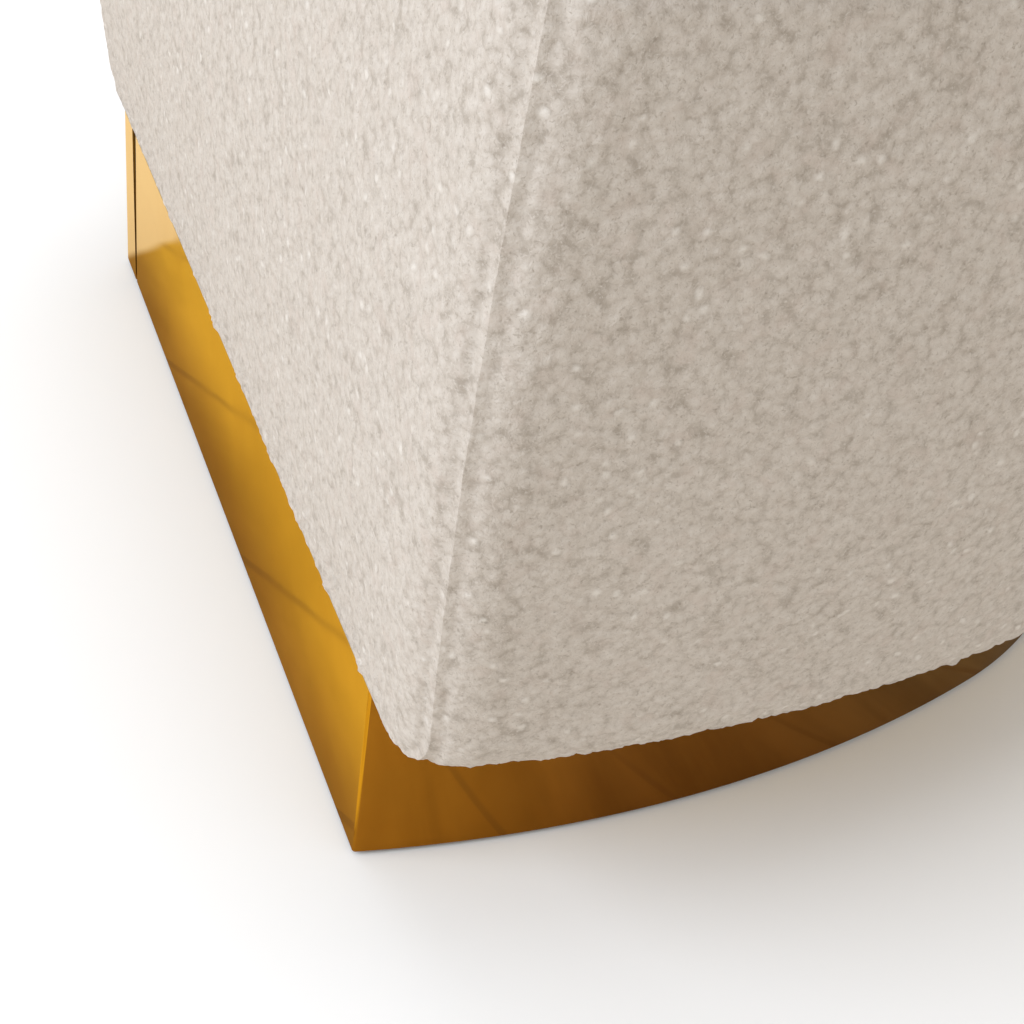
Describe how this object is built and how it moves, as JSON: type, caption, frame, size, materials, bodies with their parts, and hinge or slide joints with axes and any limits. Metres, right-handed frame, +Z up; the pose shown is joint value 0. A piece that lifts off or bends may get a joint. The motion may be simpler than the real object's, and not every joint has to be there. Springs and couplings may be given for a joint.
{
  "type": "storage ottoman",
  "caption": "Low padded D-shaped storage ottoman: bouclé body overhanging a gold-banded plinth, with a padded lid hinged at its flat back over a lined well.",
  "frame": {"origin": "on the floor, under the middle of the whole bounding box", "axes": "+Z up; +Y towards the flat back; the round front faces -Y; the sides face +X and -X"},
  "size_m": [0.6218, 0.5533, 0.486],
  "materials": {
    "boucle": "cream bouclé loop fabric",
    "gold": "polished gold-coloured stainless sheet",
    "plywood": "raw birch plywood",
    "stained_board": "dark stained board",
    "pine": "raw pine",
    "foam": "upholstery foam",
    "lining": "plain woven lining",
    "dust_cloth": "black non-woven cloth",
    "hinge_steel": "zinc-plated steel",
    "rubber": "matt black",
    "felt": "dense brown felt"
  },
  "bodies": {
    "base": {"plinth_gold_band": "gold", "plinth_back_rail": "stained_board", "plinth_curved_wall": "stained_board", "plinth_left_block": "stained_board", "plinth_right_block": "stained_board", "plinth_cross_rail": "stained_board", "dust_cover": "dust_cloth", "glide_1": "felt", "glide_2": "felt", "glide_3": "felt", "glide_4": "felt", "glide_5": "felt", "plinth_screw_1": "hinge_steel", "plinth_screw_2": "hinge_steel", "plinth_screw_3": "hinge_steel", "plinth_screw_4": "hinge_steel", "base_panel": "plywood", "back_board": "plywood", "body_curved_wall": "plywood", "left_corner_post": "pine", "right_corner_post": "pine", "top_rim": "plywood", "back_padding": "foam", "curved_padding": "foam", "back_cover": "boucle", "curved_cover": "boucle", "well_wall_lining": "lining", "well_floor_lining": "lining", "hinge_left_fixed_leaf": "hinge_steel", "hinge_right_fixed_leaf": "hinge_steel", "hinge_left_pin": "hinge_steel", "hinge_right_pin": "hinge_steel", "hinge_fixed_screw_1": "hinge_steel", "hinge_fixed_screw_2": "hinge_steel", "hinge_fixed_screw_3": "hinge_steel", "hinge_fixed_screw_4": "hinge_steel"},
    "lid": {"lid_board": "plywood", "lid_foam": "foam", "lid_cover": "boucle", "lid_lining_panel": "lining", "pull_tab": "lining", "lid_bumper_1": "rubber", "lid_bumper_2": "rubber", "lid_bumper_3": "rubber", "lid_bumper_4": "rubber", "hinge_left_moving_leaf": "hinge_steel", "hinge_right_moving_leaf": "hinge_steel", "hinge_moving_screw_1": "hinge_steel", "hinge_moving_screw_2": "hinge_steel", "hinge_moving_screw_3": "hinge_steel", "hinge_moving_screw_4": "hinge_steel"}
  },
  "joints": [
    {"name": "lid_hinge", "type": "hinge", "parent": "base", "child": "lid", "pos_m": [0, 0.26369, 0.418], "axis": [-1, 0, 0], "range_deg": [0, 85]}
  ]
}
